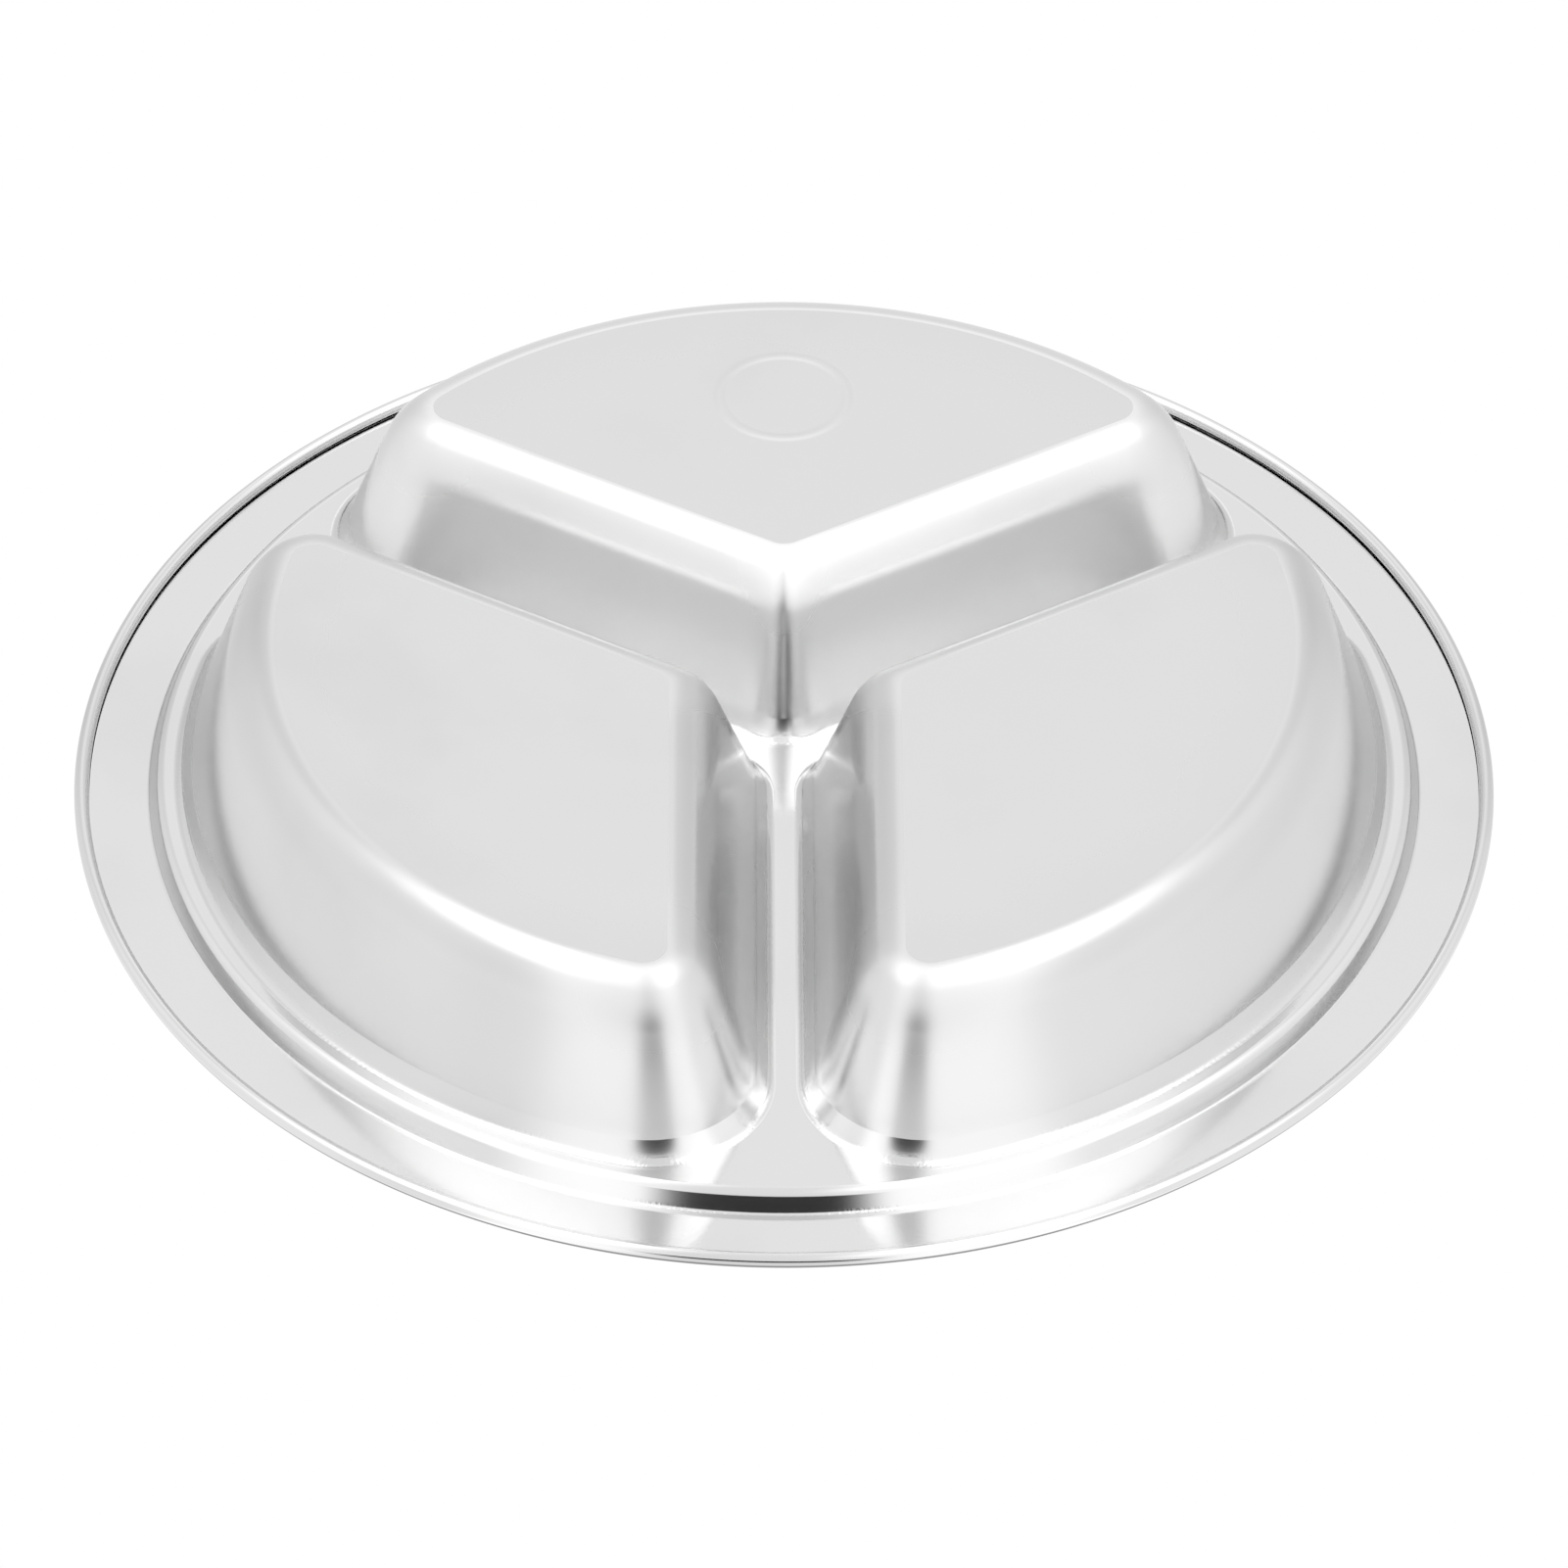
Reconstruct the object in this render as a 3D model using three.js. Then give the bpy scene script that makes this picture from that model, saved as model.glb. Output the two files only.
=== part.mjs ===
// A round divided plate, pressed from one stainless steel sheet, with three equal wells and a curled rim.
// Millimetres, +Z up. The wells open upward, and the plate stands on the undersides of their floors.
// The origin is the centre of the plate on that resting plane.
// Each zone of the pressing is a piece of its own, and neighbouring zones meet on upright seams.

import * as THREE from "three";
import { LoftGeometry } from "three/addons/geometries/LoftGeometry.js";

// Driving dimensions
const plateDiameter = 240;
const sheet = 0.6;
const wellDepth = 28.69; // from the land down to the well floors
const wallDraft = 20; // degrees that the well walls lean out from upright
const creaseDraft = 28; // degrees that the flared lip leans out where it leaves the wall
const creaseBend = 1; // inside radius of the crease there
const lipDraft = 33.5; // degrees that the lip leans out where it meets the mouth
const lipBend = 30; // inside radius of the lip's own slow bend
const mouthBend = 1.8; // inside radius of the bend at a well's mouth
const floorBend = 5.9; // inside radius of the bend at a well's floor
const floorBendSlope = 48; // degrees that this bend turns through, before the wall's own slower bend
const wallBend = 17.4; // inside radius of the slower bend up to the wall
const floorCorner = 4; // plan radius of a flat floor's corners
const mouthCorner = 20.5; // plan radius of a mouth's two corners at the rim
const mouthInnerCorner = 13; // plan radius of its corner at the plate's middle
const webWidth = 3.31; // flat top of the dividers
const landWidth = 1.32; // flat ring between the wells' mouths and the step
const stepRise = 3.46; // from the land up to the flange
const stepSlope = 62; // degrees that the step rises at its steepest
const footBend = 1.25; // inside radius of the bend at the foot of the step
const shoulderBend = 0.5; // inside radius of the bend at the top of the step
const flangeWidth = 11;
const hemCore = 1.3; // clear bore inside the curled edge
const hemGap = 0.5; // between the end of the curl and the flange above it

// Fineness of the round stretches
const turnSteps = 72;
const bendSteps = 4;
const curlSteps = 9;
const cornerSteps = 7;
const rimArcSteps = 20;

// The three wells and the direction that each one lies in, in degrees from +X
const wells = [
  { name: "back_well", direction: 90 },
  { name: "front_left_well", direction: 210 },
  { name: "front_right_well", direction: 330 },
];
const wellHalfAngle = Math.PI / wells.length;

// A sheet that rises outward from a lower flat to an upper flat, through straight slopes with bends between.
// The profile starts at the lower flat's underside. The slope that has no rise takes what the rest leaves.
function risingSheet(rise, slopes, bends) {
  const angles = [0, ...slopes.map((slope) => THREE.MathUtils.degToRad(slope.degrees)), 0];
  const bendRise = bends.map((bend, index) => {
    const radius = angles[index + 1] > angles[index] ? bend + sheet : bend;
    return radius * Math.abs(Math.cos(angles[index]) - Math.cos(angles[index + 1]));
  });
  const heights = slopes.map((slope) => slope.rise ?? 0);
  const taken = [...bendRise, ...heights].reduce((sum, height) => sum + height, 0);
  heights[slopes.findIndex((slope) => slope.rise === undefined)] = rise - taken;
  const underside = [];
  const topside = [];
  let x = 0;
  let y = 0;
  bends.forEach((bend, index) => {
    const from = angles[index];
    const to = angles[index + 1];
    const hollow = to > from ? 1 : -1; // the bend's centre is above the sheet where the slope grows
    const under = hollow > 0 ? bend + sheet : bend;
    const over = hollow > 0 ? bend : bend + sheet;
    const centre = new THREE.Vector2(x - hollow * under * Math.sin(from), y + hollow * under * Math.cos(from));
    const ray = (radius, slope) =>
      new THREE.Vector2(Math.sin(slope), -Math.cos(slope)).multiplyScalar(hollow * radius).add(centre);
    for (let step = 0; step <= bendSteps; step += 1) {
      const slope = from + ((to - from) * step) / bendSteps;
      underside.push(ray(under, slope));
      topside.push(ray(over, slope));
    }
    const last = underside[underside.length - 1];
    const climb = heights[index] ?? 0;
    x = last.x + (to > 0 ? climb / Math.tan(to) : 0);
    y = last.y + climb;
  });
  return { run: x, profile: [...underside, ...topside.reverse()] };
}

const wallSlopes = [
  { degrees: floorBendSlope, rise: 0 },
  { degrees: 90 - wallDraft },
  { degrees: 90 - creaseDraft, rise: 0 },
  { degrees: 90 - lipDraft, rise: 0 },
];
const wallBends = [floorBend, wallBend, creaseBend, lipBend, mouthBend];
const wallRise = risingSheet(wellDepth, wallSlopes, wallBends);
const stepRing = risingSheet(stepRise, [{ degrees: stepSlope }], [footBend, shoulderBend]);

// Radii, worked out from the rim inward
const hemRadius = hemCore / 2 + sheet;
const flangeOuterRadius = plateDiameter / 2 - hemRadius;
const flangeInnerRadius = flangeOuterRadius - flangeWidth;
const landOuterRadius = flangeInnerRadius - stepRing.run;
const mouthRadius = landOuterRadius - landWidth;
const floorRadius = mouthRadius - wallRise.run;
const floorToWebMiddle = webWidth / 2 + wallRise.run;

// Levels of the undersides
const landLevel = wellDepth;
const flangeLevel = landLevel + stepRise;

// The outline of a well, offset outward from the edge of its flat floor.
// It is a sector between two dividers, with rounded corners, and it points along +X.
// Its corner at the plate's middle stays tight for longer than the two at the rim.
function wellOutline(offset) {
  const corner = THREE.MathUtils.lerp(floorCorner, mouthCorner, offset / wallRise.run);
  const innerCorner = THREE.MathUtils.lerp(floorCorner, mouthInnerCorner, (offset / wallRise.run) ** 2);
  const toWebMiddle = floorToWebMiddle - offset + corner;
  const toPlateMiddle = floorRadius + offset - corner;
  const along = Math.sqrt(toPlateMiddle ** 2 - toWebMiddle ** 2);
  const cornerDirection = wellHalfAngle - Math.atan2(toWebMiddle, along);
  const cornerX = toPlateMiddle * Math.cos(cornerDirection);
  const cornerY = toPlateMiddle * Math.sin(cornerDirection);
  const innerX = (floorToWebMiddle - offset + innerCorner) / Math.sin(wellHalfAngle);
  const webSide = wellHalfAngle + Math.PI / 2;
  const arc = (x, y, radius, from, to, steps) =>
    new THREE.ArcCurve(x, y, radius, from, to).getPoints(steps);
  const rimArc = arc(0, 0, floorRadius + offset, -cornerDirection, cornerDirection, rimArcSteps);
  return [
    ...arc(innerX, 0, innerCorner, webSide, 2 * Math.PI - webSide, cornerSteps),
    ...arc(cornerX, -cornerY, corner, -webSide, -cornerDirection, cornerSteps),
    ...rimArc.slice(1, -1),
    ...arc(cornerX, cornerY, corner, cornerDirection, webSide, cornerSteps),
  ];
}

// An outline turned about the plate's middle
function turned(outline, direction) {
  const middle = new THREE.Vector2(0, 0);
  const angle = THREE.MathUtils.degToRad(direction);
  return outline.map((point) => point.clone().rotateAround(middle, angle));
}

// A ring turned about +Z from a closed profile of radius and height
function turnedRing(profile) {
  const closed = [...profile, profile[0]];
  return new THREE.LatheGeometry(closed, turnSteps).rotateX(Math.PI / 2);
}

function flatPanel(outline, holes, level) {
  const shape = new THREE.Shape(outline);
  shape.holes = holes.map((hole) => new THREE.Path(hole));
  return new THREE.ExtrudeGeometry(shape, { depth: sheet, bevelEnabled: false }).translate(0, 0, level);
}

function wellWall(direction) {
  const sections = wallRise.profile.map((point) =>
    turned(wellOutline(point.x), direction).map((corner) => new THREE.Vector3(corner.x, corner.y, point.y)),
  );
  return new LoftGeometry([...sections, sections[0]]);
}

function wellFloor(direction) {
  return flatPanel(turned(wellOutline(0), direction), [], 0);
}

// The land ring and the three dividers, one flat panel around the wells' mouths
function dividerWeb() {
  const outline = [];
  for (let step = 0; step < turnSteps; step += 1) {
    const angle = (step / turnSteps) * 2 * Math.PI;
    outline.push(new THREE.Vector2(Math.cos(angle), Math.sin(angle)).multiplyScalar(landOuterRadius));
  }
  const mouths = wells.map((well) => turned(wellOutline(wallRise.run), well.direction));
  return flatPanel(outline, mouths, landLevel);
}

function rimStep() {
  const profile = stepRing.profile.map(
    (point) => new THREE.Vector2(landOuterRadius + point.x, landLevel + point.y),
  );
  return turnedRing(profile);
}

function rimFlange() {
  return turnedRing([
    new THREE.Vector2(flangeInnerRadius, flangeLevel),
    new THREE.Vector2(flangeOuterRadius, flangeLevel),
    new THREE.Vector2(flangeOuterRadius, flangeLevel + sheet),
    new THREE.Vector2(flangeInnerRadius, flangeLevel + sheet),
  ]);
}

// The sheet's edge, curled down and under until it nearly meets the flange
function rimHem() {
  const centreLevel = flangeLevel + sheet - hemRadius;
  const start = Math.PI / 2;
  const end = -Math.PI - Math.asin((hemCore / 2 - hemGap) / hemRadius);
  const curl = (radius) =>
    new THREE.ArcCurve(flangeOuterRadius, centreLevel, radius, start, end, true).getPoints(curlSteps);
  return turnedRing([...curl(hemCore / 2), ...curl(hemRadius).reverse()]);
}

const polished = () => new THREE.MeshStandardMaterial({ color: 0xd8d9da, metalness: 1, roughness: 0.18 });
const satin = () => new THREE.MeshStandardMaterial({ color: 0xd3d4d5, metalness: 1, roughness: 0.3 });

function piece(name, geometry, material) {
  const mesh = new THREE.Mesh(geometry, material);
  mesh.name = name;
  return mesh;
}

const plate = new THREE.Group();
plate.add(piece("rim_hem", rimHem(), polished()));
plate.add(piece("rim_flange", rimFlange(), polished()));
plate.add(piece("rim_step", rimStep(), polished()));
plate.add(piece("divider_web", dividerWeb(), polished()));
for (const well of wells) {
  plate.add(piece(`${well.name}_wall`, wellWall(well.direction), polished()));
  plate.add(piece(`${well.name}_floor`, wellFloor(well.direction), satin()));
}

export default plate;
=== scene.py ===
"""A polished stainless steel divided plate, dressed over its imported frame.

The plate stands upright in the frame, and the photograph shows it upside down.
So the camera looks up at it from below, rolled half a turn, and the floor is seen only from above.
"""
import math
from collections import namedtuple
from functools import partial

import bpy
import numpy as np
from mathutils import Matrix, Vector
from mathutils.geometry import delaunay_2d_cdt


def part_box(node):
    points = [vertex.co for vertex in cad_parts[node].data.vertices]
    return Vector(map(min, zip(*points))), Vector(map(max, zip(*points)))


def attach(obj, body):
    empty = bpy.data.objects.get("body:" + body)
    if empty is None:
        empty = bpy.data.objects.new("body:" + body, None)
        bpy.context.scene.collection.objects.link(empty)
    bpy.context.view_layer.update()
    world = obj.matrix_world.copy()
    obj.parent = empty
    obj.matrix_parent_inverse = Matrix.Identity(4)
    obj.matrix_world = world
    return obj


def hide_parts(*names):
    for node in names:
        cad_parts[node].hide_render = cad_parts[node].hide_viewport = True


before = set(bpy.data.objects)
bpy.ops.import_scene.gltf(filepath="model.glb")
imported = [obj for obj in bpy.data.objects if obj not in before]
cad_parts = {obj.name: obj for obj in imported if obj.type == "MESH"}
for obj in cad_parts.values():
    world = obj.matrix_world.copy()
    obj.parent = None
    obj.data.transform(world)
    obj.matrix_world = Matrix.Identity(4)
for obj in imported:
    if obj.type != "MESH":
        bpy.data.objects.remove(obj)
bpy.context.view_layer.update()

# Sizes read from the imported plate, in metres
MM = 0.001
rim_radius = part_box("rim_hem")[1].x
flange_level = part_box("rim_flange")[0].z
flange_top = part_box("rim_flange")[1].z
flange_outer_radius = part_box("rim_flange")[1].x
flange_inner_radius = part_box("rim_step")[1].x
land_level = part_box("divider_web")[0].z
land_outer_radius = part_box("divider_web")[1].x
mouth_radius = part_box("back_well_wall")[1].y
floor_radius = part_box("back_well_floor")[1].y
sheet = flange_top - flange_level
hem_radius = rim_radius - flange_outer_radius
wall_run = mouth_radius - floor_radius

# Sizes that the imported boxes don't give, the same as in the solids
floor_bend_slope = math.radians(48)
wall_slope = math.radians(90 - 20)
crease_slope = math.radians(90 - 28)
lip_slope = math.radians(90 - 33.5)
step_slope = math.radians(62)
crease_bend = 1.0 * MM
lip_bend = 30.0 * MM
mouth_bend = 1.8 * MM
floor_bend = 5.9 * MM
wall_bend = 17.4 * MM
foot_bend = 1.25 * MM
shoulder_bend = 0.5 * MM
web_width = 3.31 * MM
floor_corner = 4.0 * MM
mouth_corner = 20.5 * MM
mouth_inner_corner = 13.0 * MM
hem_gap = 0.5 * MM

# How a drawn wall's normals depart from its plain shape
CORNER_EASE = 0.3  # reach of a corner's ease into the walls beside it, in corner radii
CORNER_LEAD = 0.105  # how far its turn lies towards the divider, in corner radii
FRONT_WALL_CROWN = math.radians(2.2)  # lean at each end of a front wall's straight part

# Fineness of the round stretches
TURN_STEPS = 360
BEND_STEPS = 14
CURL_STEPS = 36
CORNER_STEPS = 40
RIM_ARC_STEPS = 120
WEB_SIDE_STEPS = 24
FLOOR_RINGS = 12
SPREAD_STEP = 0.2 * MM
TINY = 1e-9

# The plain ring pressed into the back well's floor
RING_MIDDLE = Vector((0, 0.725 * floor_radius))
RING_RADIUS = 11 * MM
RING_HALF_WIDTH = 1.3 * MM
RING_DROP = 0.09 * MM
RING_STEPS = 10

# The wells, with the direction that each one lies in, in degrees from +X
WELLS = {"back_well": 90, "front_left_well": 210, "front_right_well": 330}
well_half_angle = math.pi / len(WELLS)


# Profiles: closed loops of points, each with the normals of the faces before and after it
def smooth_run(points_and_normals):
    return [(point, normal, normal) for point, normal in points_and_normals]


def closed_profile(runs):
    """Joins smooth runs end to end with flat ends between them."""
    loop = []
    for index, run in enumerate(runs):
        before, after = runs[index - 1], runs[(index + 1) % len(runs)]
        start_face = end_normal(before[-1][0], run[0][0])
        end_face = end_normal(run[-1][0], after[0][0])
        joined = list(run)
        joined[0] = (run[0][0], start_face, run[0][2])
        joined[-1] = (run[-1][0], run[-1][1], end_face)
        loop += joined
    return loop


def end_normal(start, end):
    along = (end - start).normalized()
    return Vector((along.y, -along.x))


def arc(centre, radius, start, end, steps, facing=1):
    """Points of an arc, with normals away from its centre, or towards it where facing is -1."""
    angles = [start + (end - start) * step / steps for step in range(steps + 1)]
    rays = [Vector((math.cos(angle), math.sin(angle))) for angle in angles]
    return [(centre + ray * radius, ray * facing) for ray in rays]


def rising_profile(rise, slopes, bends, crown=0):
    """The section of a sheet that rises outward to an upper flat, through slopes with bends between.

    Each slope is its angle and the height of its straight part, and None takes the height left over.
    The normals of that slope turn a little along it, by the crown each way.
    """
    angles = [0] + [slope for slope, _ in slopes] + [0]
    crowns = [0] + [crown if height is None else 0 for _, height in slopes] + [0]
    heights = [height for _, height in slopes]
    turns = list(zip(bends, angles, angles[1:]))
    left_over = rise - sum(height or 0 for height in heights)
    for bend, start, end in turns:
        under = bend + sheet if end > start else bend
        left_over -= under * abs(math.cos(start) - math.cos(end))
    heights[heights.index(None)] = left_over
    underside, topside = [], []
    place = Vector((0, 0))
    for (bend, start, end), height, before, after in zip(turns, heights + [0], crowns, crowns[1:]):
        hollow = 1 if end > start else -1
        under = bend + sheet if hollow > 0 else bend
        over = bend if hollow > 0 else bend + sheet
        centre = place + Vector((-math.sin(start), math.cos(start))) * (under * hollow)
        for step in range(BEND_STEPS + 1):
            slope = start + (end - start) * step / BEND_STEPS
            outward = Vector((math.sin(slope), -math.cos(slope)))
            leaning = slope + before - (before + after) * step / BEND_STEPS
            normal = Vector((math.sin(leaning), -math.cos(leaning)))
            underside.append((centre + outward * (under * hollow), normal))
            topside.append((centre + outward * (over * hollow), -normal))
        reach = height / math.tan(end) if end else 0
        place = underside[-1][0] + Vector((reach, height))
    return closed_profile([smooth_run(underside), smooth_run(topside[::-1])])


def flange_profile():
    width = flange_outer_radius - flange_inner_radius
    down, up = Vector((0, -1)), Vector((0, 1))
    under = [(Vector((0, 0)), down), (Vector((width, 0)), down)]
    top = [(Vector((width, sheet)), up), (Vector((0, sheet)), up)]
    return closed_profile([smooth_run(under), smooth_run(top)])


def hem_profile():
    core = hem_radius - sheet
    centre = Vector((0, sheet - hem_radius))
    start = math.pi / 2
    end = -math.pi - math.asin((core - hem_gap) / hem_radius)
    inside = arc(centre, core, start, end, CURL_STEPS, facing=-1)
    outside = arc(centre, hem_radius, end, start, CURL_STEPS)
    return closed_profile([smooth_run(inside), smooth_run(outside)])


# Outlines: closed rings of plan points, each with its outward normal and its spread
def circle_outline(radius):
    angles = [2 * math.pi * step / TURN_STEPS for step in range(TURN_STEPS)]
    rays = [Vector((math.cos(angle), math.sin(angle))) for angle in angles]
    return [(ray * radius, ray, 1) for ray in rays]


def outer_corner(offset):
    """The plan radius of a well's two corners at the rim, at an offset from its flat floor."""
    return floor_corner + (mouth_corner - floor_corner) * offset / wall_run


def well_ring(offset):
    """A well's outline, offset outward from the edge of its flat floor and pointing along +X."""
    corner = outer_corner(offset)
    inner_radius = floor_corner + (mouth_inner_corner - floor_corner) * (offset / wall_run) ** 2
    side_to_middle = web_width / 2 + wall_run - offset
    to_web_middle = side_to_middle + corner
    to_plate_middle = floor_radius + offset - corner
    along = math.sqrt(to_plate_middle ** 2 - to_web_middle ** 2)
    corner_direction = well_half_angle - math.atan2(to_web_middle, along)
    upper = Vector((math.cos(corner_direction), math.sin(corner_direction))) * to_plate_middle
    lower = Vector((upper.x, -upper.y))
    inner = Vector(((side_to_middle + inner_radius) / math.sin(well_half_angle), 0))
    middle = Vector((0, 0))
    web_side = well_half_angle + math.pi / 2
    inner_corner = arc(inner, inner_radius, web_side, 2 * math.pi - web_side, CORNER_STEPS)
    lower_corner = arc(lower, corner, -web_side, -corner_direction, CORNER_STEPS)
    rim_arc = arc(middle, floor_radius + offset, -corner_direction, corner_direction, RIM_ARC_STEPS)
    upper_corner = arc(upper, corner, corner_direction, web_side, CORNER_STEPS)
    ring = inner_corner + straight_side(inner_corner[-1], lower_corner[0])
    ring += lower_corner + rim_arc[1:-1]
    ring += upper_corner + straight_side(upper_corner[-1], inner_corner[0])
    return ring


def straight_side(start, end):
    shares = [step / WEB_SIDE_STEPS for step in range(1, WEB_SIDE_STEPS)]
    return [(start[0].lerp(end[0], share), start[1]) for share in shares]


def softened(ring, corner):
    """A ring's normals averaged along it, because a drawn sheet eases into its corners.

    Beside the dividers they are taken from a little further out, so that the sheet turns early.
    """
    points = np.array([point for point, _ in ring])
    normals = np.array([normal for _, normal in ring])
    gaps = np.linalg.norm(points - np.roll(points, 1, axis=0), axis=1)
    places = np.cumsum(gaps)
    widths = gaps + np.roll(gaps, -1)
    towards_divider = np.clip(2 * points[:, 1] / floor_radius, -1, 1)
    lead = -CORNER_LEAD * corner * towards_divider
    apart = places[None, :] - (places + lead)[:, None]
    apart -= places[-1] * np.round(apart / places[-1])
    weights = np.clip(1 - (apart / (CORNER_EASE * corner)) ** 2, 0, None) * widths
    weights += np.eye(len(ring)) * TINY
    return [Vector(total).normalized() for total in weights @ normals]


def well_outline(direction, offset):
    """A well's outline. A point's spread is how far it moves along its normal per step of offset."""
    turn = Matrix.Rotation(math.radians(direction), 2)
    ring = well_ring(offset)
    soft_normals = softened(ring, outer_corner(offset))
    smaller, larger = well_ring(offset - SPREAD_STEP), well_ring(offset + SPREAD_STEP)
    outline = []
    for (point, normal), soft, (inward, _), (outward, _) in zip(ring, soft_normals, smaller, larger):
        spread = (outward - inward).dot(normal) / (2 * SPREAD_STEP)
        outline.append((turn @ point, turn @ soft, spread))
    return outline


# Meshes
def mesh_piece(name, points, faces, normals):
    mesh = bpy.data.meshes.new(name)
    mesh.from_pydata(points, [], faces)
    mesh.polygons.foreach_set("use_smooth", [True] * len(faces))
    mesh.normals_split_custom_set(normals)
    piece = bpy.data.objects.new(name, mesh)
    bpy.context.collection.objects.link(piece)
    return piece


def swept_piece(name, outline_at, profile, level):
    """Sweeps a closed section round a family of outlines, one outline for each offset in the section."""
    rings = [outline_at(point.x) for point, _, _ in profile]
    around = len(rings[0])
    points = []
    for ring, (point, _, _) in zip(rings, profile):
        points += [(plan.x, plan.y, level + point.y) for plan, _, _ in ring]
    faces, normals = [], []
    for index in range(len(profile)):
        following = (index + 1) % len(profile)
        first, second = index * around, following * around
        for step in range(around):
            after = (step + 1) % around
            faces.append((first + step, first + after, second + after, second + step))
            corners = [(index, step, 2), (index, after, 2), (following, after, 1), (following, step, 1)]
            for row, column, side in corners:
                outward, upward = profile[row][side]
                _, plan, spread = rings[row][column]
                normal = Vector((plan.x * outward / spread, plan.y * outward / spread, upward))
                normals.append(normal.normalized())
    return mesh_piece(name, points, faces, normals)


def turned_piece(name, radius, profile, level):
    """Turns a closed section about the plate's axis, from the radius that the section starts at."""
    return swept_piece(name, lambda offset: circle_outline(radius + offset), profile, level)


def flat_fill(outlines):
    """Fills the flat region inside the first outline and outside the others with triangles."""
    loops = [[plan for plan, _, _ in outline] for outline in outlines]
    flat = [plan for loop in loops for plan in loop]
    edges, start = [], 0
    for loop in loops:
        edges += [(start + step, start + (step + 1) % len(loop)) for step in range(len(loop))]
        start += len(loop)
    inside_only = 1
    points, _, triangles, _, _, _ = delaunay_2d_cdt(flat, edges, [], inside_only, TINY)
    kept = []
    for triangle in triangles:
        middle = sum((points[corner] for corner in triangle), Vector((0, 0))) / 3
        if not any(inside(middle, hole) for hole in loops[1:]):
            kept.append(triangle)
    return points, kept


def inside(point, loop):
    crossings = 0
    for (x, y), (next_x, next_y) in zip(loop, loop[1:] + loop[:1]):
        if (y > point.y) != (next_y > point.y):
            crossings += point.x < x + (point.y - y) * (next_x - x) / (next_y - y)
    return crossings % 2 == 1


def ring_fill(outline, middle, inner_radii):
    """Fills a flat region with rings that close in from its outline to circles about the middle."""
    loop = [plan for plan, _, _ in outline]
    around = len(loop)
    rays = [(plan - middle).normalized() for plan in loop]
    points = []
    for ring in range(FLOOR_RINGS):
        share = ring / FLOOR_RINGS
        points += [plan.lerp(middle + ray * inner_radii[0], share) for plan, ray in zip(loop, rays)]
    for radius in inner_radii:
        points += [middle + ray * radius for ray in rays]
    rings = FLOOR_RINGS + len(inner_radii)
    faces = []
    for ring in range(rings - 1):
        outer, inner = ring * around, (ring + 1) * around
        for step in range(around):
            after = (step + 1) % around
            faces.append((outer + step, outer + after, inner + after, inner + step))
    last = (rings - 1) * around
    faces += [(last + step, last + (step + 1) % around, len(points)) for step in range(around)]
    return points + [middle], faces


def no_relief(plan):
    return 0, Vector((0, 0))


def ring_relief(plan):
    """How far the plain pressed ring drops below the floor, and its slope there."""
    across = plan - RING_MIDDLE
    share = (across.length - RING_RADIUS) / RING_HALF_WIDTH
    if abs(share) >= 1:
        return no_relief(plan)
    drop = RING_DROP * (1 + math.cos(math.pi * share)) / 2
    slope = -RING_DROP * math.pi / (2 * RING_HALF_WIDTH) * math.sin(math.pi * share)
    return drop, across.normalized() * slope


def panel_piece(name, outlines, fill, level, relief=no_relief):
    """A flat sheet with upright edges, from a fill whose points start with the outlines' own."""
    flat, filled = fill
    count = len(flat)
    pressed = [relief(plan) for plan in flat]
    points = [(plan.x, plan.y, level - drop) for plan, (drop, _) in zip(flat, pressed)]
    points += [(x, y, z + sheet) for x, y, z in points]
    ups = [Vector((slope.x, slope.y, 1)).normalized() for _, slope in pressed]
    faces, normals = [], []
    for face in filled:
        faces += [tuple(corner + count for corner in face), tuple(face[::-1])]
        normals += [ups[corner] for corner in face] + [-ups[corner] for corner in face[::-1]]
    start = 0
    for order, outline in enumerate(outlines):
        outward = 1 if order == 0 else -1
        around = len(outline)
        for step in range(around):
            after = (step + 1) % around
            low, next_low = start + step, start + after
            face = (low, next_low, next_low + count, low + count)
            sides = [outline[step][1], outline[after][1], outline[after][1], outline[step][1]]
            if outward < 0:
                face, sides = face[::-1], sides[::-1]
            faces.append(face)
            normals += [(side.x * outward, side.y * outward, 0) for side in sides]
        start += around
    return mesh_piece(name, points, faces, normals)


# The pieces, by the node that each one stands for
def rim_pieces():
    step_rise = flange_level - land_level
    step_profile = rising_profile(step_rise, [(step_slope, None)], [foot_bend, shoulder_bend])
    rings = {
        "rim_hem": ("curled_hem", flange_outer_radius, hem_profile(), flange_level),
        "rim_flange": ("flat_flange", flange_inner_radius, flange_profile(), flange_level),
        "rim_step": ("rim_step_ring", land_outer_radius, step_profile, land_level),
    }
    return {node: turned_piece(*ring) for node, ring in rings.items()}


def well_pieces():
    slopes = [(floor_bend_slope, 0), (wall_slope, None), (crease_slope, 0), (lip_slope, 0)]
    bends = [floor_bend, wall_bend, crease_bend, lip_bend, mouth_bend]
    made = {}
    for well, direction in WELLS.items():
        crown = 0 if well == "back_well" else FRONT_WALL_CROWN
        profile = rising_profile(land_level, slopes, bends, crown)
        outline_at = partial(well_outline, direction)
        made[f"{well}_wall"] = swept_piece(f"{well}_drawn_wall", outline_at, profile, 0)
        made[f"{well}_floor"] = floor_piece(well, outline_at(0))
    return made


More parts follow.
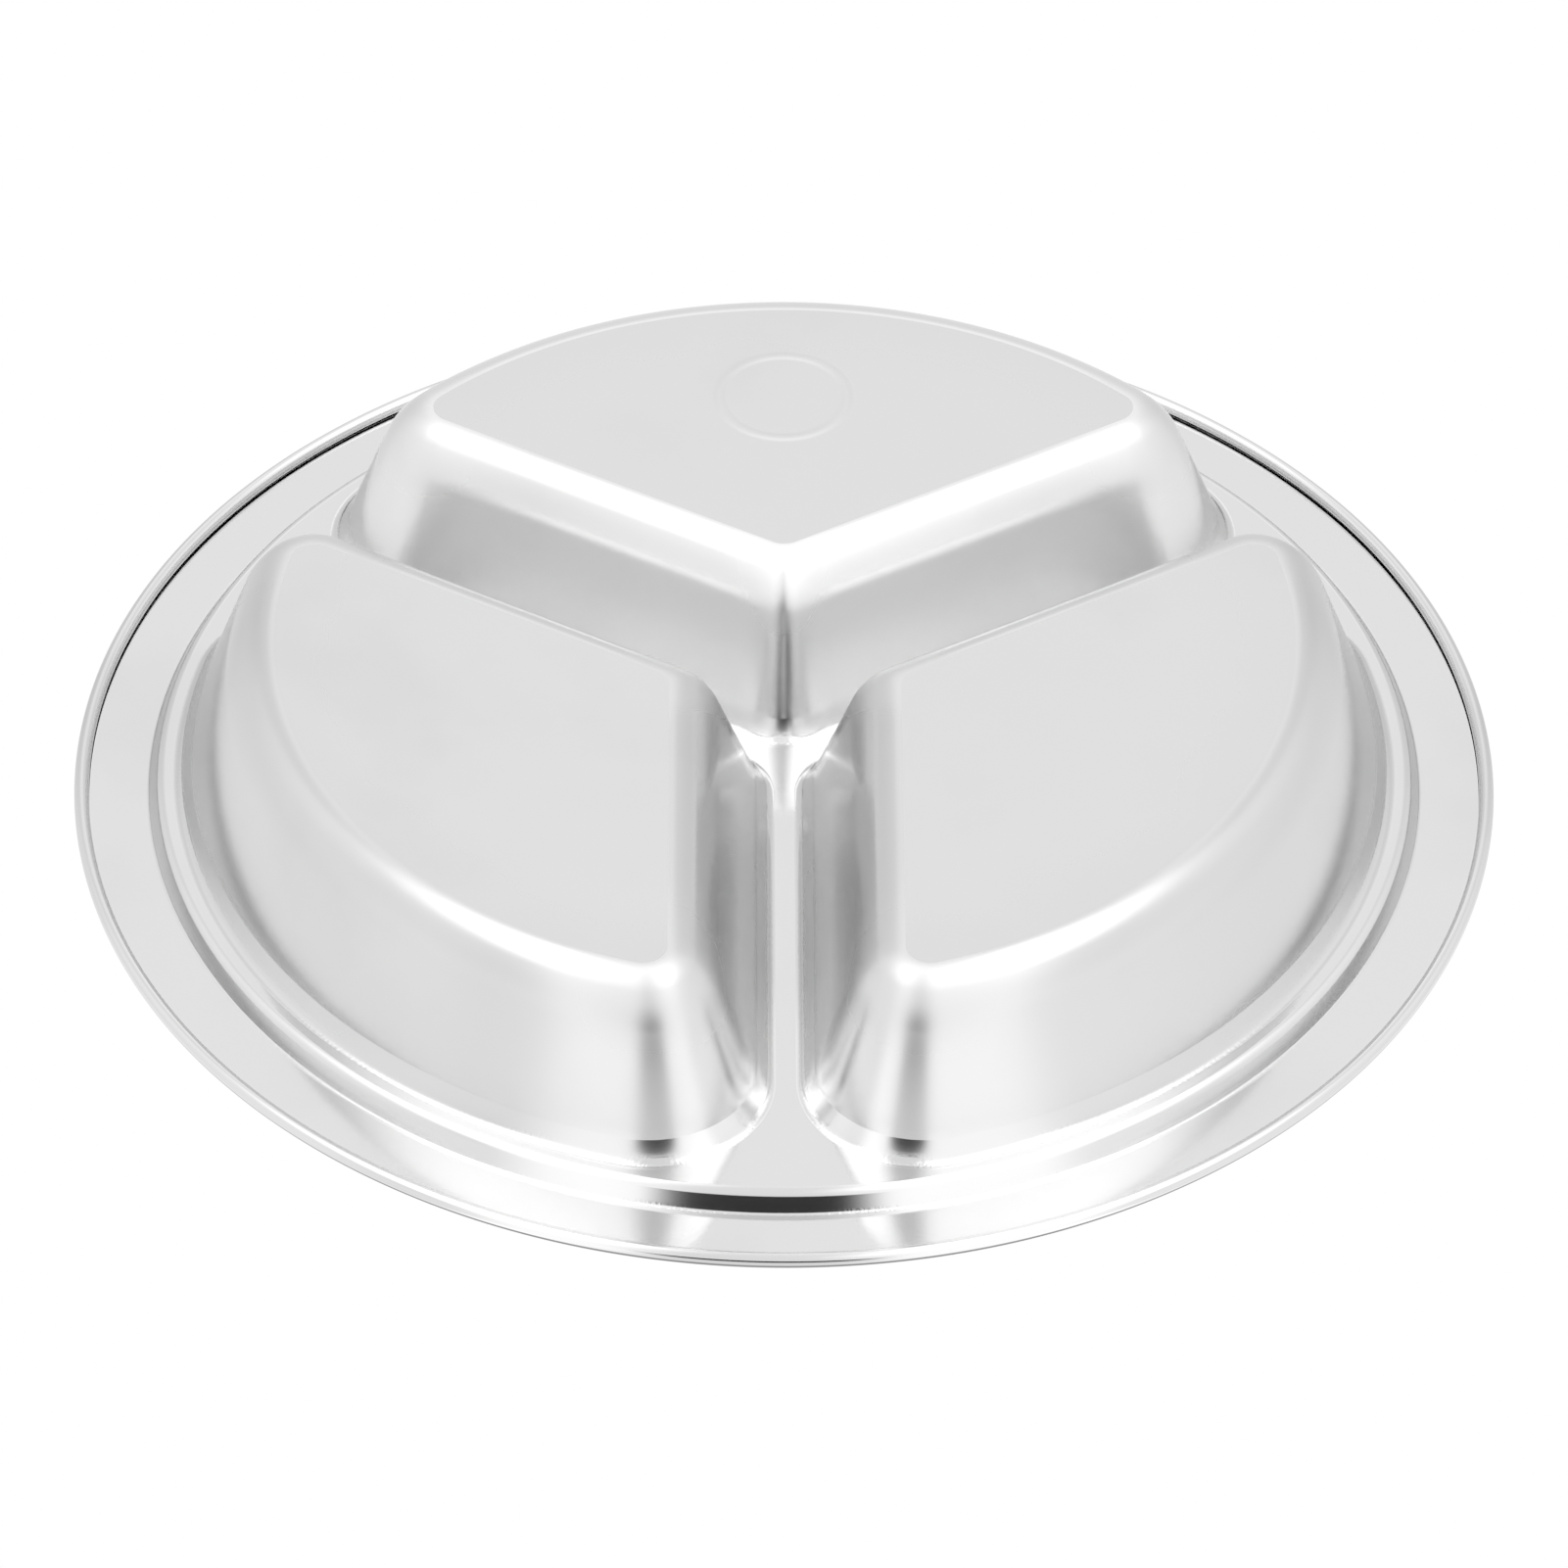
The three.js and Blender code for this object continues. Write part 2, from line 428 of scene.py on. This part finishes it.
def floor_piece(well, outline):
    """A well's floor. The back well's has a plain pressed ring."""
    name = f"{well}_flat_floor"
    if well == "back_well":
        reach = RING_RADIUS + RING_HALF_WIDTH
        steps = range(2 * RING_STEPS + 1)
        radii = [reach - RING_HALF_WIDTH * step / RING_STEPS for step in steps]
        return panel_piece(name, [outline], ring_fill(outline, RING_MIDDLE, radii), 0, ring_relief)
    middle = sum((plan for plan, _, _ in outline), Vector((0, 0))) / len(outline)
    return panel_piece(name, [outline], ring_fill(outline, middle, [floor_corner]), 0)


def web_piece():
    mouths = [well_outline(direction, wall_run) for direction in WELLS.values()]
    outlines = [circle_outline(land_outer_radius)] + mouths
    return panel_piece("land_and_dividers", outlines, flat_fill(outlines), land_level)


# Node trees
def feed(tree, socket, value):
    if isinstance(value, bpy.types.NodeSocket):
        tree.links.new(value, socket)
    else:
        socket.default_value = value


def add_node(tree, kind, inputs=None, **settings):
    node = tree.nodes.new(kind)
    for name, value in settings.items():
        setattr(node, name, value)
    for name, value in (inputs or {}).items():
        feed(tree, node.inputs[name], value)
    return node


def calculate(tree, operation, *values):
    node = add_node(tree, "ShaderNodeMath", operation=operation)
    for socket, value in zip(node.inputs, values):
        feed(tree, socket, value)
    return node.outputs[0]


def product(tree, first, *others):
    for other in others:
        first = calculate(tree, "MULTIPLY", first, other)
    return first


def ease(tree, value, start, end):
    """0 at start and 1 at end, with a smooth rise between."""
    limits = {"Value": value, "From Min": start, "From Max": end}
    return add_node(tree, "ShaderNodeMapRange", limits, interpolation_type="SMOOTHSTEP").outputs[0]


def ramp(tree, value, start, end):
    """0 at start and 1 at end, with an even rise between."""
    limits = {"Value": value, "From Min": start, "From Max": end}
    return add_node(tree, "ShaderNodeMapRange", limits).outputs[0]


def blend(tree, first, second, share):
    node = add_node(tree, "ShaderNodeMix", data_type="FLOAT")
    for index, value in ((0, share), (2, first), (3, second)):
        feed(tree, node.inputs[index], value)
    return node.outputs[0]


# Materials: stainless steel with clouds, smudges, hairlines, slight waves and a grain on tight bends
POLISHED_TONE = 0.70
# One drawn steel, painted lighter for the back well's walls and darker for the front wells': painted
# light and shade
BACK_WALL_PAINTED_LIGHT_TONE = 0.73
FRONT_WALL_PAINTED_SHADE_TONE = 0.655
SATIN_TONE = 0.638
SMUDGE_SHADE = 0.96
# Painted highlights: the base colour made brighter in the front corners and towards the plate's middle
CORNER_PAINTED_HIGHLIGHT = 1.16
MIDDLE_PAINTED_HIGHLIGHT = 1.065
CLOUD_SIZE = 26 * MM
SMUDGE_SIZE = 48 * MM
SMUDGE_EDGE = (0.5, 0.72)
WAVE_SIZE = 24 * MM
GRAIN_SIZE = 0.6 * MM
GRAIN_HEIGHT = 0.02 * MM
HAIRLINE_SIZE = 0.4 * MM
HAIRLINE_STRETCH = 0.02
HAIRLINE_SHARE = 0.12

# Roughness of each stretch
RIM_ROUGHNESS = 0.1
STEP_ROUGHNESS = 0.26
FRONT_STEP_ROUGHNESS = 0.11
WALL_ROUGHNESS = 0.2
CORNER_ROUGHNESS = 0.25
LOW_CORNER_ROUGHNESS = 0.38
LIP_ROUGHNESS = 0.3
BRIGHT_LIP_ROUGHNESS = 0.18
MOUTH_ROUGHNESS = 0.1
FLOOR_EDGE_ROUGHNESS = 0.24
FLOOR_ROUGHNESS = 0.3

# Where one look gives way to the next, each from where the change starts to where it is done
STEP_FOOT_RADII = (land_outer_radius, land_outer_radius + 1.2 * MM)
STEP_SHOULDER_RADII = (flange_inner_radius, flange_inner_radius - 0.5 * MM)
STEP_FRONT_TO_SIDES = (-0.82 * rim_radius, -0.68 * rim_radius)
SHOULDER_GRAIN_RADIUS = flange_inner_radius - 0.2 * MM
SHOULDER_GRAIN_REACH = (0.5 * MM, 0.2 * MM)
LIP_LEVELS = (land_level - 5.5 * MM, land_level - 3 * MM)
BRIGHT_LIP_TO_FRONT = (-0.55 * rim_radius, -0.68 * rim_radius)
BRIGHT_LIP_RADII = (34 * MM, 22 * MM)
MOUTH_LEVELS = (land_level - 1.2 * MM, land_level - 0.6 * MM)
MOUTH_GRAIN_LEVELS = (land_level - 1.6 * MM, land_level - 0.6 * MM)
LOW_CORNER_LEVELS = (14 * MM, 3 * MM)
OUTER_CORNER_ANGLES = (math.radians(26), math.radians(16))
OUTER_CORNER_RADII = (60 * MM, 84 * MM)
INNER_CORNER_ANGLES = (math.radians(32), math.radians(50))
INNER_CORNER_RADII = (32 * MM, 24 * MM)
# Where the base colour is painted brighter, as painted highlights
MIDDLE_PAINTED_HIGHLIGHT_RADII = (66 * MM, 28 * MM)
CORNER_PAINTED_HIGHLIGHT_TO_FRONT = (-0.4 * rim_radius, -0.62 * rim_radius)
CORNER_PAINTED_HIGHLIGHT_ANGLES = (math.radians(12), math.radians(6))
FLOOR_RADII = (floor_radius, 0.8 * floor_radius)

Spot = namedtuple("Spot", "x y level radius")


def noise(tree, place, size, detail):
    inputs = {"Vector": place, "Scale": 1 / size, "Detail": detail}
    return add_node(tree, "ShaderNodeTexNoise", inputs).outputs["Fac"]


def steel_material(name, tone, roughness, clouding, waviness, grain=None, painted_highlight=None):
    """Roughness, grain and painted highlight are functions that build their value for a spot on the
    plate.
    """
    material = bpy.data.materials.new(name)
    material.use_nodes = True
    tree = material.node_tree
    shader = tree.nodes["Principled BSDF"]
    shader.inputs["Metallic"].default_value = 1
    place = add_node(tree, "ShaderNodeTexCoord").outputs["Object"]
    x, y, level = add_node(tree, "ShaderNodeSeparateXYZ", {"Vector": place}).outputs
    plan = add_node(tree, "ShaderNodeCombineXYZ", {"X": x, "Y": y}).outputs[0]
    radius = add_node(tree, "ShaderNodeVectorMath", {0: plan}, operation="LENGTH").outputs["Value"]
    spot = Spot(x, y, level, radius)
    shade = smudged_tone(tree, place, tone)
    # Painted highlight: the base colour made brighter at some spots
    if painted_highlight:
        shade = product(tree, shade, painted_highlight(tree, spot))
    feed(tree, shader.inputs["Base Color"], shade)
    spread = product(tree, cloud_spread(tree, place), clouding)
    feed(tree, shader.inputs["Roughness"], calculate(tree, "ADD", roughness(tree, spot), spread))
    height = product(tree, noise(tree, place, WAVE_SIZE, 1), waviness)
    if grain:
        stretched = product(tree, grain(tree, spot), GRAIN_HEIGHT)
        height = calculate(tree, "MULTIPLY_ADD", noise(tree, place, GRAIN_SIZE, 1), stretched, height)
    bump = add_node(tree, "ShaderNodeBump", {"Height": height, "Distance": 1, "Strength": 1})
    feed(tree, shader.inputs["Normal"], bump.outputs[0])
    return material


def smudged_tone(tree, place, tone):
    smudges = ease(tree, noise(tree, place, SMUDGE_SIZE, 4), *SMUDGE_EDGE)
    return blend(tree, tone, tone * SMUDGE_SHADE, smudges)


def cloud_spread(tree, place):
    """From about -0.5 to 0.5: broad clouds, with rolling hairlines in them."""
    stretch = {0: place, 1: (1, HAIRLINE_STRETCH, 1)}
    along = add_node(tree, "ShaderNodeVectorMath", stretch, operation="MULTIPLY").outputs["Vector"]
    hairlines = noise(tree, along, HAIRLINE_SIZE, 1)
    mixed = blend(tree, noise(tree, place, CLOUD_SIZE, 3), hairlines, HAIRLINE_SHARE)
    return calculate(tree, "SUBTRACT", mixed, 0.5)


def polished_roughness(tree, spot):
    """Smooth rim and dividers, with a step that is duller except at the front."""
    foot = ease(tree, spot.radius, *STEP_FOOT_RADII)
    shoulder = ease(tree, spot.radius, *STEP_SHOULDER_RADII)
    sides = ease(tree, spot.y, *STEP_FRONT_TO_SIDES)
    step = blend(tree, FRONT_STEP_ROUGHNESS, STEP_ROUGHNESS, sides)
    return blend(tree, RIM_ROUGHNESS, step, product(tree, foot, shoulder))


def shoulder_grain(tree, spot):
    away = calculate(tree, "SUBTRACT", spot.radius, SHOULDER_GRAIN_RADIUS)
    return ease(tree, calculate(tree, "ABSOLUTE", away), *SHOULDER_GRAIN_REACH)


def drawn_roughness(tree, spot):
    """Walls that are duller round their corners.

    Their lips are smoothest beside the front divider and at the plate's middle.
    """
    low = ease(tree, spot.level, *LOW_CORNER_LEVELS)
    corner = blend(tree, CORNER_ROUGHNESS, LOW_CORNER_ROUGHNESS, low)
    wall = blend(tree, WALL_ROUGHNESS, corner, corner_share(tree, spot))
    front = ease(tree, spot.y, *BRIGHT_LIP_TO_FRONT)
    middle = ease(tree, spot.radius, *BRIGHT_LIP_RADII)
    lip = blend(tree, LIP_ROUGHNESS, BRIGHT_LIP_ROUGHNESS, calculate(tree, "MAXIMUM", front, middle))
    lip = blend(tree, wall, lip, ease(tree, spot.level, *LIP_LEVELS))
    return blend(tree, lip, MOUTH_ROUGHNESS, ease(tree, spot.level, *MOUTH_LEVELS))


def angle_from_divider(tree, spot):
    around = calculate(tree, "ARCTAN2", spot.y, spot.x)
    first_divider = math.radians(WELLS["back_well"]) - well_half_angle
    from_first = calculate(tree, "SUBTRACT", around, first_divider)
    return calculate(tree, "PINGPONG", from_first, well_half_angle)


def corner_share(tree, spot):
    """1 round a well's corners, at the plate's middle and beside the dividers' outer ends."""
    from_divider = angle_from_divider(tree, spot)
    beside = ease(tree, from_divider, *OUTER_CORNER_ANGLES)
    outer = product(tree, beside, ease(tree, spot.radius, *OUTER_CORNER_RADII))
    facing = ease(tree, from_divider, *INNER_CORNER_ANGLES)
    inner = product(tree, facing, ease(tree, spot.radius, *INNER_CORNER_RADII))
    return calculate(tree, "ADD", outer, inner)


def middle_painted_highlight(tree, spot):
    """Steel painted brighter towards the plate's middle: a painted highlight."""
    share = ease(tree, spot.radius, *MIDDLE_PAINTED_HIGHLIGHT_RADII)
    return calculate(tree, "MULTIPLY_ADD", share, MIDDLE_PAINTED_HIGHLIGHT - 1, 1)


def corner_painted_highlight(tree, spot):
    """Steel painted brighter in the corners beside the front divider: a painted highlight."""
    front = ease(tree, spot.y, *CORNER_PAINTED_HIGHLIGHT_TO_FRONT)
    beside = ease(tree, angle_from_divider(tree, spot), *CORNER_PAINTED_HIGHLIGHT_ANGLES)
    share = product(tree, beside, front)
    return calculate(tree, "MULTIPLY_ADD", share, CORNER_PAINTED_HIGHLIGHT - 1, 1)


def mouth_grain(tree, spot):
    return ease(tree, spot.level, *MOUTH_GRAIN_LEVELS)


def satin_roughness(tree, spot):
    """Floors, duller towards their middles than at the fillets around them."""
    return blend(tree, FLOOR_EDGE_ROUGHNESS, FLOOR_ROUGHNESS, ease(tree, spot.radius, *FLOOR_RADII))


def make_steels():
    drawn = {"clouding": 0.08, "waviness": 0.1 * MM, "grain": mouth_grain}
    polished = {"clouding": 0.06, "waviness": 0.05 * MM, "grain": shoulder_grain}
    satin = {"clouding": 0.1, "waviness": 0.08 * MM}
    return {
        "polished": steel_material("polished_steel", POLISHED_TONE, polished_roughness, **polished),
        # The two drawn steels are one steel with painted light and shade: the back lighter with a
        # painted highlight at the middle, the front darker with painted highlights in its corners
        "back_wall": steel_material(
            "painted_drawn_steel_back", BACK_WALL_PAINTED_LIGHT_TONE, drawn_roughness, painted_highlight=middle_painted_highlight, **drawn
        ),
        "front_wall": steel_material(
            "painted_drawn_steel_front", FRONT_WALL_PAINTED_SHADE_TONE, drawn_roughness, painted_highlight=corner_painted_highlight, **drawn
        ),
        "floor": steel_material("satin_steel", SATIN_TONE, satin_roughness, **satin),
    }


def steel_of(node):
    """Which of the steels a node is made of."""
    if node.endswith("floor"):
        return "floor"
    if node.endswith("wall"):
        return "back_wall" if node.startswith("back") else "front_wall"
    return "polished"


# The camera, at the place that the photograph was taken from
CAMERA_ELEVATION = 41.4112
CAMERA_AZIMUTH = 0.3827
CAMERA_TILT = -0.0404
CAMERA_ROLL = 0.2415
CAMERA_DISTANCE = 15.7592 * rim_radius
CAMERA_CLIP = (0.1, 20)
FOCAL_PIXELS = 11405.96
PHOTO_PIXELS = 1601
SENSOR_WIDTH = 36


def add_camera():
    data = bpy.data.cameras.new("photo_camera")
    data.sensor_width = SENSOR_WIDTH
    data.lens = FOCAL_PIXELS * SENSOR_WIDTH / PHOTO_PIXELS
    data.clip_start, data.clip_end = CAMERA_CLIP
    camera = bpy.data.objects.new("photo_camera", data)
    bpy.context.collection.objects.link(camera)
    # Turned over about Y, because the photograph shows the plate upside down
    turned_over = Matrix.Diagonal((-1, 1, -1)) @ Matrix.Rotation(-math.radians(CAMERA_AZIMUTH), 3, "Z")
    elevation = math.radians(CAMERA_ELEVATION)
    back = Vector((0, -math.cos(elevation), math.sin(elevation)))
    right = Vector((1, 0, 0))
    up = back.cross(right)
    axes = Matrix((right, up, back)).transposed()
    axes = axes @ Matrix.Rotation(math.radians(CAMERA_TILT), 3, "X")
    axes = axes @ Matrix.Rotation(math.radians(CAMERA_ROLL), 3, "Z")
    place = turned_over @ (back * CAMERA_DISTANCE) + Vector((0, 0, flange_level))
    camera.matrix_world = Matrix.Translation(place) @ (turned_over @ axes).to_4x4()
    bpy.context.scene.camera = camera


# The studio: a pale tent, two bright panels that meet behind the plate and a dark gap, in degrees
TENT_SIDE_TONES = (1.0, 1.14)
TENT_SIDE_HEIGHTS = (0, 40)
TENT_BACK_TONES = (0.92, 1.09)
TENT_BACK_HEIGHTS = (15, 45)
TENT_BACK_TO_SIDE = (35, 70)
FRONT_LIFT = 0.12
FRONT_LIFT_TURN = (70, 115)
FRONT_LIFT_HEIGHTS = (24, 6)
LEFT_SHADE = 0.07
LEFT_SHADE_SIDE = (0, -20)
LEFT_SHADE_START = (108, 124)
LEFT_SHADE_END = (146, 130)
BACK_STRIP = 0.22
BACK_STRIP_FOOT = (25, 30)
BACK_STRIP_TOP = (39, 35)
BACK_STRIP_TURN = (18, 10)
BACK_CORNER_SHADE = 0.11
BACK_CORNER_TURN = 29
BACK_CORNER_REACH = (20, 5)
PANELS_MEET = 45
PANEL_START = (-2, 20)
PANEL_BACK_TO_FRONT = (-25, 35)
PANEL_BACK_EDGE = 45
PANEL_BACK_SOFTNESS = 12
PANEL_FRONT_EDGE = 28.5
PANEL_FRONT_SOFTNESS = 4
PANEL_SHIFT = 2.5
PANEL_HIGH_TONE = 2.1
PANEL_LOW_TONE = 1.42
PANEL_HIGH_TO_LOW = (5, 50)
SLOT_TONE = 1.0
SLOT_SHIFT = -4
SLOT_EDGE = (4, 15)
GAP_TONE = 0.04
GAP_MIDDLE = -4.2
GAP_HALF_WIDTH = 21.8
GAP_SHOULDER = 12
GAP_TOP = 25
GAP_EDGE = (1.5, 0.5)
GAP_NEAR_SIDE = (0, 1)
GAP_FOOT = (-40, -10)
TABLE_FRONT_TONE = 0.9
TABLE_FRONT_TO_GAP = (-2, 7)
TABLE_SHADE_TONE = 0.4
TABLE_SHADE_HEIGHTS = (-40, -65)


def add_world():
    """Lays the studio out on a map of the sky as the upside-down plate sees it.

    On the map a direction lies as far from straight overhead as it does in the sky, in degrees.
    Its coordinates are towards the camera, near, and to the camera's right.
    """
    world = bpy.data.worlds.new("studio")
    bpy.context.scene.world = world
    world.use_nodes = True
    tree = world.node_tree
    direction = add_node(tree, "ShaderNodeTexCoord").outputs["Generated"]
    x, y, z = add_node(tree, "ShaderNodeSeparateXYZ", {"Vector": direction}).outputs
    level = add_node(tree, "ShaderNodeCombineXYZ", {"X": x, "Y": y}).outputs[0]
    level = add_node(tree, "ShaderNodeVectorMath", {0: level}, operation="NORMALIZE").outputs["Vector"]
    level_x, level_y, _ = add_node(tree, "ShaderNodeSeparateXYZ", {"Vector": level}).outputs
    height = calculate(tree, "DEGREES", calculate(tree, "ARCSINE", product(tree, z, -1)))
    steep = calculate(tree, "ABSOLUTE", height)
    from_overhead = calculate(tree, "SUBTRACT", 90, steep)
    right = product(tree, level_x, -1, from_overhead)
    near = product(tree, level_y, -1, from_overhead)
    tone = panel_tone(tree, tent_tone(tree, right, near, steep), right, near)
    tone = gap_tone(tree, tone, right, near, height)
    tone = blend(tree, tone, TABLE_SHADE_TONE, ease(tree, height, *TABLE_SHADE_HEIGHTS))
    seen = add_node(tree, "ShaderNodeLightPath").outputs["Is Camera Ray"]
    feed(tree, tree.nodes["Background"].inputs["Color"], blend(tree, tone, 1, seen))


def tent_tone(tree, right, near, steep):
    """The pale tent, brighter high up and a little darker in its two back corners."""
    from_back = fan_angle(tree, right, product(tree, near, -1))
    side = tent_side_tone(tree, right, from_back, steep)
    back = blend(tree, *TENT_BACK_TONES, ramp(tree, steep, *TENT_BACK_HEIGHTS))
    foot, top = ease(tree, steep, *BACK_STRIP_FOOT), ease(tree, steep, *BACK_STRIP_TOP)
    strip = product(tree, foot, top, ease(tree, from_back, *BACK_STRIP_TURN))
    back = calculate(tree, "MULTIPLY_ADD", strip, BACK_STRIP, back)
    tone = blend(tree, back, side, ease(tree, from_back, *TENT_BACK_TO_SIDE))
    from_corner = calculate(tree, "ABSOLUTE", calculate(tree, "SUBTRACT", from_back, BACK_CORNER_TURN))
    corner = ease(tree, from_corner, *BACK_CORNER_REACH)
    return calculate(tree, "MULTIPLY_ADD", corner, -BACK_CORNER_SHADE, tone)


def tent_side_tone(tree, right, from_back, steep):
    """The tent's sides, lifted low down towards the front and shaded a little at the front left."""
    side = blend(tree, *TENT_SIDE_TONES, ramp(tree, steep, *TENT_SIDE_HEIGHTS))
    lift = product(
        tree, ramp(tree, from_back, *FRONT_LIFT_TURN), ease(tree, steep, *FRONT_LIFT_HEIGHTS)
    )
    side = calculate(tree, "MULTIPLY_ADD", lift, FRONT_LIFT, side)
    start, end = ease(tree, from_back, *LEFT_SHADE_START), ease(tree, from_back, *LEFT_SHADE_END)
    left = product(tree, ease(tree, right, *LEFT_SHADE_SIDE), start, end)
    return calculate(tree, "MULTIPLY_ADD", left, -LEFT_SHADE, side)


def panel_tone(tree, tent, right, near):
    """The two panels, which open to the camera like a fan, with the narrow slot between them."""
    from_meeting = calculate(tree, "ADD", near, PANELS_MEET)
    front = ease(tree, near, *PANEL_BACK_TO_FRONT)
    panel_side = calculate(tree, "SUBTRACT", right, product(tree, front, PANEL_SHIFT))
    fan = fan_angle(tree, panel_side, from_meeting)
    edge = blend(tree, PANEL_BACK_EDGE, PANEL_FRONT_EDGE, front)
    softness = blend(tree, PANEL_BACK_SOFTNESS, PANEL_FRONT_SOFTNESS, front)
    inward = calculate(tree, "DIVIDE", calculate(tree, "SUBTRACT", edge, fan), softness)
    within = product(tree, ease(tree, inward, -1, 1), ease(tree, from_meeting, *PANEL_START))
    glow = blend(tree, PANEL_HIGH_TONE, PANEL_LOW_TONE, ease(tree, near, *PANEL_HIGH_TO_LOW))
    tone = blend(tree, tent, glow, within)
    slot_side = calculate(tree, "SUBTRACT", right, product(tree, front, SLOT_SHIFT))
    slot_fan = fan_angle(tree, slot_side, from_meeting)
    return blend(tree, SLOT_TONE, tone, ease(tree, slot_fan, *SLOT_EDGE))


def fan_angle(tree, right, ahead):
    """The angle on the map between a line ahead and a point to its left or right."""
    aside = calculate(tree, "ABSOLUTE", right)
    return calculate(tree, "DEGREES", calculate(tree, "ARCTAN2", aside, ahead))


def gap_tone(tree, tone, right, near, height):
    """The dark gap that the camera looks through, and the dimmer stretch of table below it."""
    across = calculate(tree, "DIVIDE", calculate(tree, "SUBTRACT", right, GAP_MIDDLE), GAP_HALF_WIDTH)
    above = calculate(tree, "MAXIMUM", calculate(tree, "SUBTRACT", height, GAP_SHOULDER), 0)
    up = calculate(tree, "DIVIDE", above, GAP_TOP - GAP_SHOULDER)
    outward = calculate(tree, "MULTIPLY_ADD", across, across, product(tree, up, up))
    gap = product(
        tree,
        ease(tree, outward, *GAP_EDGE),
        ease(tree, near, *GAP_NEAR_SIDE),
        ease(tree, height, *GAP_FOOT),
    )
    low_to_high = ease(tree, height, *TABLE_FRONT_TO_GAP)
    return blend(tree, tone, blend(tree, TABLE_FRONT_TONE, GAP_TONE, low_to_high), gap)


# The floor, which shows only from above and fades to white far from the plate
FLOOR_HALF_WIDTH = 10
FLOOR_DROP = 0.1 * MM
FLOOR_TONE = 0.86
FLOOR_FADE = (1.5 * rim_radius, 6 * rim_radius)
WHITE = (1, 1, 1, 1)


def add_floor():
    mesh = bpy.data.meshes.new("pale_floor")
    sides = ((-1, -1), (1, -1), (1, 1), (-1, 1))
    corners = [(x * FLOOR_HALF_WIDTH, y * FLOOR_HALF_WIDTH, -FLOOR_DROP) for x, y in sides]
    mesh.from_pydata(corners, [], [(0, 1, 2, 3)])
    mesh.materials.append(floor_material())
    floor = bpy.data.objects.new("pale_floor", mesh)
    bpy.context.collection.objects.link(floor)


def floor_material():
    material = bpy.data.materials.new("pale_floor")
    material.use_nodes = True
    tree = material.node_tree
    tree.nodes.clear()
    path = add_node(tree, "ShaderNodeLightPath")
    geometry = add_node(tree, "ShaderNodeNewGeometry")
    front = calculate(tree, "SUBTRACT", 1, geometry.outputs["Backfacing"])
    # A path that has come up through the floor finds it clear from then on
    from_above = calculate(tree, "LESS_THAN", path.outputs["Transparent Depth"], 0.5)
    shown = product(tree, from_above, front)
    away = add_node(tree, "ShaderNodeVectorMath", {0: geometry.outputs["Position"]}, operation="LENGTH")
    far = ease(tree, away.outputs["Value"], *FLOOR_FADE)
    grey = (FLOOR_TONE, FLOOR_TONE, FLOOR_TONE, 1)
    paper = add_node(tree, "ShaderNodeBsdfDiffuse", {"Color": grey}).outputs[0]
    glow = add_node(tree, "ShaderNodeEmission", {"Color": WHITE}).outputs[0]
    clear = add_node(tree, "ShaderNodeBsdfTransparent").outputs[0]
    surface = add_node(tree, "ShaderNodeMixShader", {0: far, 1: paper, 2: glow}).outputs[0]
    surface = add_node(tree, "ShaderNodeMixShader", {0: shown, 1: clear, 2: surface}).outputs[0]
    add_node(tree, "ShaderNodeOutputMaterial", {"Surface": surface})
    return material


bpy.context.scene.view_settings.view_transform = "Standard"
add_camera()
add_world()
add_floor()
steels = make_steels()
dressed = {**rim_pieces(), **well_pieces(), "divider_web": web_piece()}
for node, piece in dressed.items():
    piece.data.materials.append(steels[steel_of(node)])
    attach(piece, "root")
    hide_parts(node)
